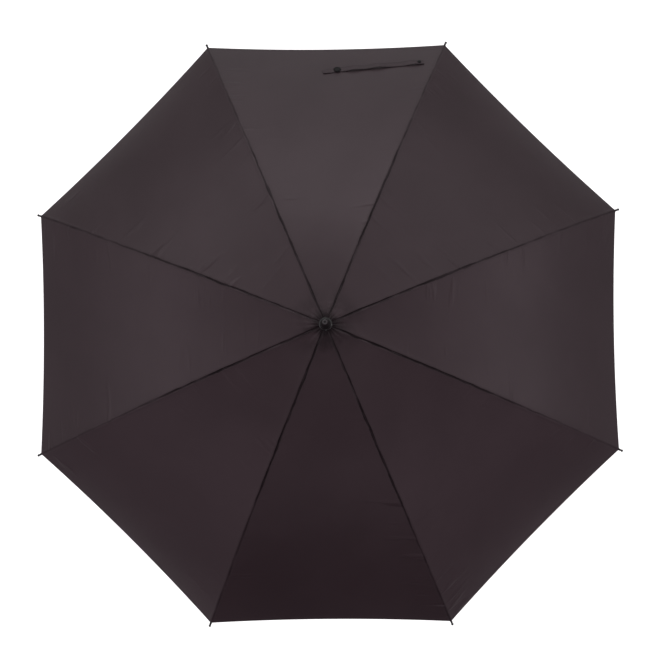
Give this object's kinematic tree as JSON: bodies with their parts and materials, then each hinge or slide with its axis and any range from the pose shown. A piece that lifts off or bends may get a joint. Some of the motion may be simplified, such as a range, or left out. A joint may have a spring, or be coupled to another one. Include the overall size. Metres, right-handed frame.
{
  "type": "golf umbrella",
  "caption": "Open stick umbrella with a wide faceted fabric canopy on folding ribs, sliding runner, spring catches, tie strap and straight foam handle.",
  "frame": {"origin": "centre of the flat lower end of the handle", "axes": "+Z along the shaft to the ferrule; ribs at 22.5 degrees and every 45 degrees from +X towards +Y, so a panel's middle lies on +X and on +Y, and the tie strap is on the +Y panel"},
  "size_m": [1.2034, 1.2034, 1.015],
  "materials": {
    "frame_steel": "black enamel",
    "rod_fibreglass": "black glass-fibre rod",
    "black_plastic": "satin black moulding",
    "pongee_cloth": "woven black pongee",
    "grip_foam": "closed-cell foam, fine matt skin"
  },
  "bodies": {
    "shaft": {"shaft_tube": "frame_steel", "top_notch": "black_plastic", "notch_wire": "frame_steel", "crown_rosette": "pongee_cloth", "top_cap": "black_plastic", "ferrule": "black_plastic", "shaft_stop": "black_plastic", "handle_core": "black_plastic", "handle_end_cap": "black_plastic", "handle_grip": "grip_foam", "handle_collar": "black_plastic"},
    "rib_1": {"rib_1": "frame_steel"},
    "rod_1": {"rod_1": "rod_fibreglass"},
    "canopy_top_1": {"canopy_top_1": "pongee_cloth"},
    "canopy_hem_1": {"canopy_hem_1": "pongee_cloth"},
    "stretcher_1": {"stretcher_1": "frame_steel"},
    "rib_2": {"rib_2": "frame_steel"},
    "rod_2": {"rod_2": "rod_fibreglass"},
    "canopy_top_2": {"canopy_top_2": "pongee_cloth"},
    "canopy_hem_2": {"canopy_hem_2": "pongee_cloth"},
    "stretcher_2": {"stretcher_2": "frame_steel"},
    "rib_3": {"rib_3": "frame_steel"},
    "rod_3": {"rod_3": "rod_fibreglass"},
    "canopy_top_3": {"canopy_top_3": "pongee_cloth"},
    "canopy_hem_3": {"canopy_hem_3": "pongee_cloth"},
    "stretcher_3": {"stretcher_3": "frame_steel"},
    "rib_4": {"rib_4": "frame_steel"},
    "rod_4": {"rod_4": "rod_fibreglass"},
    "canopy_top_4": {"canopy_top_4": "pongee_cloth"},
    "canopy_hem_4": {"canopy_hem_4": "pongee_cloth"},
    "stretcher_4": {"stretcher_4": "frame_steel"},
    "rib_5": {"rib_5": "frame_steel"},
    "rod_5": {"rod_5": "rod_fibreglass"},
    "canopy_top_5": {"canopy_top_5": "pongee_cloth"},
    "canopy_hem_5": {"canopy_hem_5": "pongee_cloth"},
    "stretcher_5": {"stretcher_5": "frame_steel"},
    "rib_6": {"rib_6": "frame_steel"},
    "rod_6": {"rod_6": "rod_fibreglass"},
    "canopy_top_6": {"canopy_top_6": "pongee_cloth"},
    "canopy_hem_6": {"canopy_hem_6": "pongee_cloth"},
    "stretcher_6": {"stretcher_6": "frame_steel"},
    "rib_7": {"rib_7": "frame_steel"},
    "rod_7": {"rod_7": "rod_fibreglass"},
    "canopy_top_7": {"canopy_top_7": "pongee_cloth"},
    "canopy_hem_7": {"canopy_hem_7": "pongee_cloth"},
    "stretcher_7": {"stretcher_7": "frame_steel"},
    "rib_8": {"rib_8": "frame_steel"},
    "rod_8": {"rod_8": "rod_fibreglass"},
    "canopy_top_8": {"canopy_top_8": "pongee_cloth"},
    "canopy_hem_8": {"canopy_hem_8": "pongee_cloth"},
    "stretcher_8": {"stretcher_8": "frame_steel"},
    "tie_strap": {"tie_strap": "pongee_cloth", "snap_cap": "black_plastic", "snap_stud": "black_plastic"},
    "runner": {"runner": "black_plastic", "runner_wire": "frame_steel"},
    "top_catch": {"top_catch": "frame_steel"},
    "bottom_catch": {"bottom_catch": "frame_steel"}
  },
  "joints": [
    {"name": "rib_1_fold", "type": "hinge", "parent": "shaft", "child": "rib_1", "pos_m": [0.01155, 0.00478, 0.93], "axis": [-0.3827, 0.9239, 0], "range_deg": [0, 70.66], "deforming": ["canopy_top_1", "canopy_top_2", "canopy_top_3", "canopy_top_4", "canopy_top_5", "canopy_top_6", "canopy_top_7", "canopy_top_8", "canopy_hem_1", "canopy_hem_2", "canopy_hem_3", "canopy_hem_4", "canopy_hem_5", "canopy_hem_6", "canopy_hem_7", "canopy_hem_8", "top_catch", "bottom_catch"]},
    {"name": "stretcher_1_turn", "type": "hinge", "parent": "rib_1", "child": "stretcher_1", "pos_m": [0.32279, 0.1337, 0.82868], "axis": [-0.3827, 0.9239, 0], "range_deg": [-141.82, 0]},
    {"name": "rod_1_flex", "type": "hinge", "parent": "rib_1", "child": "rod_1", "pos_m": [0.33289, 0.13789, 0.83046], "axis": [-0.3827, 0.9239, 0], "range_deg": [-20.28, 0]},
    {"name": "canopy_top_1_fold", "type": "hinge", "parent": "rib_1", "child": "canopy_top_1", "pos_m": [0.00287, 0.00287, 0.9238], "axis": [-0.5915, -0.5915, -0.5478], "range_deg": [0, 51.64]},
    {"name": "canopy_hem_1_fold", "type": "hinge", "parent": "rod_1", "child": "canopy_hem_1", "pos_m": [-0.03907, -0.03907, 1.05574], "axis": [-0.6474, -0.6474, -0.4023], "range_deg": [0, 38.34]},
    {"name": "rib_2_fold", "type": "hinge", "parent": "shaft", "child": "rib_2", "pos_m": [0.00478, 0.01155, 0.93], "axis": [-0.9239, 0.3827, 0], "range_deg": [0, 70.66]},
    {"name": "stretcher_2_turn", "type": "hinge", "parent": "rib_2", "child": "stretcher_2", "pos_m": [0.1337, 0.32279, 0.82868], "axis": [-0.9239, 0.3827, 0], "range_deg": [-141.82, 0]},
    {"name": "rod_2_flex", "type": "hinge", "parent": "rib_2", "child": "rod_2", "pos_m": [0.13789, 0.33289, 0.83046], "axis": [-0.9239, 0.3827, 0], "range_deg": [-20.28, 0]},
    {"name": "canopy_top_2_fold", "type": "hinge", "parent": "rib_2", "child": "canopy_top_2", "pos_m": [0, 0.00406, 0.9238], "axis": [0, -0.8366, -0.5478], "range_deg": [0, 51.64]},
    {"name": "canopy_hem_2_fold", "type": "hinge", "parent": "rod_2", "child": "canopy_hem_2", "pos_m": [0, -0.05525, 1.05574], "axis": [0, -0.9155, -0.4023], "range_deg": [0, 38.34]},
    {"name": "rib_3_fold", "type": "hinge", "parent": "shaft", "child": "rib_3", "pos_m": [-0.00478, 0.01155, 0.93], "axis": [-0.9239, -0.3827, 0], "range_deg": [0, 70.66]},
    {"name": "stretcher_3_turn", "type": "hinge", "parent": "rib_3", "child": "stretcher_3", "pos_m": [-0.1337, 0.32279, 0.82868], "axis": [-0.9239, -0.3827, 0], "range_deg": [-141.82, 0]},
    {"name": "rod_3_flex", "type": "hinge", "parent": "rib_3", "child": "rod_3", "pos_m": [-0.13789, 0.33289, 0.83046], "axis": [-0.9239, -0.3827, 0], "range_deg": [-20.28, 0]},
    {"name": "canopy_top_3_fold", "type": "hinge", "parent": "rib_3", "child": "canopy_top_3", "pos_m": [-0.00287, 0.00287, 0.9238], "axis": [0.5915, -0.5915, -0.5478], "range_deg": [0, 51.64]},
    {"name": "canopy_hem_3_fold", "type": "hinge", "parent": "rod_3", "child": "canopy_hem_3", "pos_m": [0.03907, -0.03907, 1.05574], "axis": [0.6474, -0.6474, -0.4023], "range_deg": [0, 38.34]},
    {"name": "rib_4_fold", "type": "hinge", "parent": "shaft", "child": "rib_4", "pos_m": [-0.01155, 0.00478, 0.93], "axis": [-0.3827, -0.9239, 0], "range_deg": [0, 70.66]},
    {"name": "stretcher_4_turn", "type": "hinge", "parent": "rib_4", "child": "stretcher_4", "pos_m": [-0.32279, 0.1337, 0.82868], "axis": [-0.3827, -0.9239, 0], "range_deg": [-141.82, 0]},
    {"name": "rod_4_flex", "type": "hinge", "parent": "rib_4", "child": "rod_4", "pos_m": [-0.33289, 0.13789, 0.83046], "axis": [-0.3827, -0.9239, 0], "range_deg": [-20.28, 0]},
    {"name": "canopy_top_4_fold", "type": "hinge", "parent": "rib_4", "child": "canopy_top_4", "pos_m": [-0.00406, 0, 0.9238], "axis": [0.8366, 0, -0.5478], "range_deg": [0, 51.64]},
    {"name": "canopy_hem_4_fold", "type": "hinge", "parent": "rod_4", "child": "canopy_hem_4", "pos_m": [0.05525, 0, 1.05574], "axis": [0.9155, 0, -0.4023], "range_deg": [0, 38.34]},
    {"name": "rib_5_fold", "type": "hinge", "parent": "shaft", "child": "rib_5", "pos_m": [-0.01155, -0.00478, 0.93], "axis": [0.3827, -0.9239, 0], "range_deg": [0, 70.66]},
    {"name": "stretcher_5_turn", "type": "hinge", "parent": "rib_5", "child": "stretcher_5", "pos_m": [-0.32279, -0.1337, 0.82868], "axis": [0.3827, -0.9239, 0], "range_deg": [-141.82, 0]},
    {"name": "rod_5_flex", "type": "hinge", "parent": "rib_5", "child": "rod_5", "pos_m": [-0.33289, -0.13789, 0.83046], "axis": [0.3827, -0.9239, 0], "range_deg": [-20.28, 0]},
    {"name": "canopy_top_5_fold", "type": "hinge", "parent": "rib_5", "child": "canopy_top_5", "pos_m": [-0.00287, -0.00287, 0.9238], "axis": [0.5915, 0.5915, -0.5478], "range_deg": [0, 51.64]},
    {"name": "canopy_hem_5_fold", "type": "hinge", "parent": "rod_5", "child": "canopy_hem_5", "pos_m": [0.03907, 0.03907, 1.05574], "axis": [0.6474, 0.6474, -0.4023], "range_deg": [0, 38.34]},
    {"name": "rib_6_fold", "type": "hinge", "parent": "shaft", "child": "rib_6", "pos_m": [-0.00478, -0.01155, 0.93], "axis": [0.9239, -0.3827, 0], "range_deg": [0, 70.66]},
    {"name": "stretcher_6_turn", "type": "hinge", "parent": "rib_6", "child": "stretcher_6", "pos_m": [-0.1337, -0.32279, 0.82868], "axis": [0.9239, -0.3827, 0], "range_deg": [-141.82, 0]},
    {"name": "rod_6_flex", "type": "hinge", "parent": "rib_6", "child": "rod_6", "pos_m": [-0.13789, -0.33289, 0.83046], "axis": [0.9239, -0.3827, 0], "range_deg": [-20.28, 0]},
    {"name": "canopy_top_6_fold", "type": "hinge", "parent": "rib_6", "child": "canopy_top_6", "pos_m": [0, -0.00406, 0.9238], "axis": [0, 0.8366, -0.5478], "range_deg": [0, 51.64]},
    {"name": "canopy_hem_6_fold", "type": "hinge", "parent": "rod_6", "child": "canopy_hem_6", "pos_m": [0, 0.05525, 1.05574], "axis": [0, 0.9155, -0.4023], "range_deg": [0, 38.34]},
    {"name": "rib_7_fold", "type": "hinge", "parent": "shaft", "child": "rib_7", "pos_m": [0.00478, -0.01155, 0.93], "axis": [0.9239, 0.3827, 0], "range_deg": [0, 70.66]},
    {"name": "stretcher_7_turn", "type": "hinge", "parent": "rib_7", "child": "stretcher_7", "pos_m": [0.1337, -0.32279, 0.82868], "axis": [0.9239, 0.3827, 0], "range_deg": [-141.82, 0]},
    {"name": "rod_7_flex", "type": "hinge", "parent": "rib_7", "child": "rod_7", "pos_m": [0.13789, -0.33289, 0.83046], "axis": [0.9239, 0.3827, 0], "range_deg": [-20.28, 0]},
    {"name": "canopy_top_7_fold", "type": "hinge", "parent": "rib_7", "child": "canopy_top_7", "pos_m": [0.00287, -0.00287, 0.9238], "axis": [-0.5915, 0.5915, -0.5478], "range_deg": [0, 51.64]},
    {"name": "canopy_hem_7_fold", "type": "hinge", "parent": "rod_7", "child": "canopy_hem_7", "pos_m": [-0.03907, 0.03907, 1.05574], "axis": [-0.6474, 0.6474, -0.4023], "range_deg": [0, 38.34]},
    {"name": "rib_8_fold", "type": "hinge", "parent": "shaft", "child": "rib_8", "pos_m": [0.01155, -0.00478, 0.93], "axis": [0.3827, 0.9239, 0], "range_deg": [0, 70.66]},
    {"name": "stretcher_8_turn", "type": "hinge", "parent": "rib_8", "child": "stretcher_8", "pos_m": [0.32279, -0.1337, 0.82868], "axis": [0.3827, 0.9239, 0], "range_deg": [-141.82, 0]},
    {"name": "rod_8_flex", "type": "hinge", "parent": "rib_8", "child": "rod_8", "pos_m": [0.33289, -0.13789, 0.83046], "axis": [0.3827, 0.9239, 0], "range_deg": [-20.28, 0]},
    {"name": "canopy_top_8_fold", "type": "hinge", "parent": "rib_8", "child": "canopy_top_8", "pos_m": [0.00406, 0, 0.9238], "axis": [-0.8366, 0, -0.5478], "range_deg": [0, 51.64]},
    {"name": "canopy_hem_8_fold", "type": "hinge", "parent": "rod_8", "child": "canopy_hem_8", "pos_m": [-0.05525, 0, 1.05574], "axis": [-0.9155, 0, -0.4023], "range_deg": [0, 38.34]},
    {"name": "tie_strap_lift", "type": "hinge", "parent": "rod_2", "child": "tie_strap", "pos_m": [0.20003, 0.5469, 0.67043], "axis": [-0.1232, 0.7608, -0.6372], "range_deg": [0, 150]},
    {"name": "runner_travel", "type": "hinge", "parent": "stretcher_1", "child": "runner", "pos_m": [0.01155, 0.00478, 0.72736], "axis": [-0.3827, 0.9239, 0], "range_deg": [0, 70.96]},
    {"name": "top_catch_press", "type": "hinge", "parent": "shaft", "child": "top_catch", "pos_m": [0.0045, 0, 0.65626], "axis": [0, -1, 0], "range_deg": [0, 9], "stiffness_Nm_per_rad": 0.3},
    {"name": "bottom_catch_press", "type": "hinge", "parent": "shaft", "child": "bottom_catch", "pos_m": [0.0045, 0, 0.18085], "axis": [0, -1, 0], "range_deg": [0, 9], "stiffness_Nm_per_rad": 0.3}
  ],
  "couplings": [
    {"joint": "canopy_top_1_fold", "follows": "rib_1_fold", "ratio": 0.72377},
    {"joint": "canopy_hem_1_fold", "follows": "rib_1_fold", "ratio": 0.53557},
    {"joint": "stretcher_1_turn", "follows": "rib_1_fold", "ratio": -2},
    {"joint": "rod_1_flex", "follows": "rib_1_fold", "ratio": -0.28},
    {"joint": "canopy_top_2_fold", "follows": "rib_1_fold", "ratio": 0.72377},
    {"joint": "canopy_hem_2_fold", "follows": "rib_1_fold", "ratio": 0.53557},
    {"joint": "rib_2_fold", "follows": "rib_1_fold", "ratio": 1},
    {"joint": "stretcher_2_turn", "follows": "rib_1_fold", "ratio": -2},
    {"joint": "rod_2_flex", "follows": "rib_1_fold", "ratio": -0.28},
    {"joint": "canopy_top_3_fold", "follows": "rib_1_fold", "ratio": 0.72377},
    {"joint": "canopy_hem_3_fold", "follows": "rib_1_fold", "ratio": 0.53557},
    {"joint": "rib_3_fold", "follows": "rib_1_fold", "ratio": 1},
    {"joint": "stretcher_3_turn", "follows": "rib_1_fold", "ratio": -2},
    {"joint": "rod_3_flex", "follows": "rib_1_fold", "ratio": -0.28},
    {"joint": "canopy_top_4_fold", "follows": "rib_1_fold", "ratio": 0.72377},
    {"joint": "canopy_hem_4_fold", "follows": "rib_1_fold", "ratio": 0.53557},
    {"joint": "rib_4_fold", "follows": "rib_1_fold", "ratio": 1},
    {"joint": "stretcher_4_turn", "follows": "rib_1_fold", "ratio": -2},
    {"joint": "rod_4_flex", "follows": "rib_1_fold", "ratio": -0.28},
    {"joint": "canopy_top_5_fold", "follows": "rib_1_fold", "ratio": 0.72377},
    {"joint": "canopy_hem_5_fold", "follows": "rib_1_fold", "ratio": 0.53557},
    {"joint": "rib_5_fold", "follows": "rib_1_fold", "ratio": 1},
    {"joint": "stretcher_5_turn", "follows": "rib_1_fold", "ratio": -2},
    {"joint": "rod_5_flex", "follows": "rib_1_fold", "ratio": -0.28},
    {"joint": "canopy_top_6_fold", "follows": "rib_1_fold", "ratio": 0.72377},
    {"joint": "canopy_hem_6_fold", "follows": "rib_1_fold", "ratio": 0.53557},
    {"joint": "rib_6_fold", "follows": "rib_1_fold", "ratio": 1},
    {"joint": "stretcher_6_turn", "follows": "rib_1_fold", "ratio": -2},
    {"joint": "rod_6_flex", "follows": "rib_1_fold", "ratio": -0.28},
    {"joint": "canopy_top_7_fold", "follows": "rib_1_fold", "ratio": 0.72377},
    {"joint": "canopy_hem_7_fold", "follows": "rib_1_fold", "ratio": 0.53557},
    {"joint": "rib_7_fold", "follows": "rib_1_fold", "ratio": 1},
    {"joint": "stretcher_7_turn", "follows": "rib_1_fold", "ratio": -2},
    {"joint": "rod_7_flex", "follows": "rib_1_fold", "ratio": -0.28},
    {"joint": "canopy_top_8_fold", "follows": "rib_1_fold", "ratio": 0.72377},
    {"joint": "canopy_hem_8_fold", "follows": "rib_1_fold", "ratio": 0.53557},
    {"joint": "rib_8_fold", "follows": "rib_1_fold", "ratio": 1},
    {"joint": "stretcher_8_turn", "follows": "rib_1_fold", "ratio": -2},
    {"joint": "rod_8_flex", "follows": "rib_1_fold", "ratio": -0.28},
    {"joint": "runner_travel", "follows": "rib_1_fold", "ratio": 1}
  ]
}
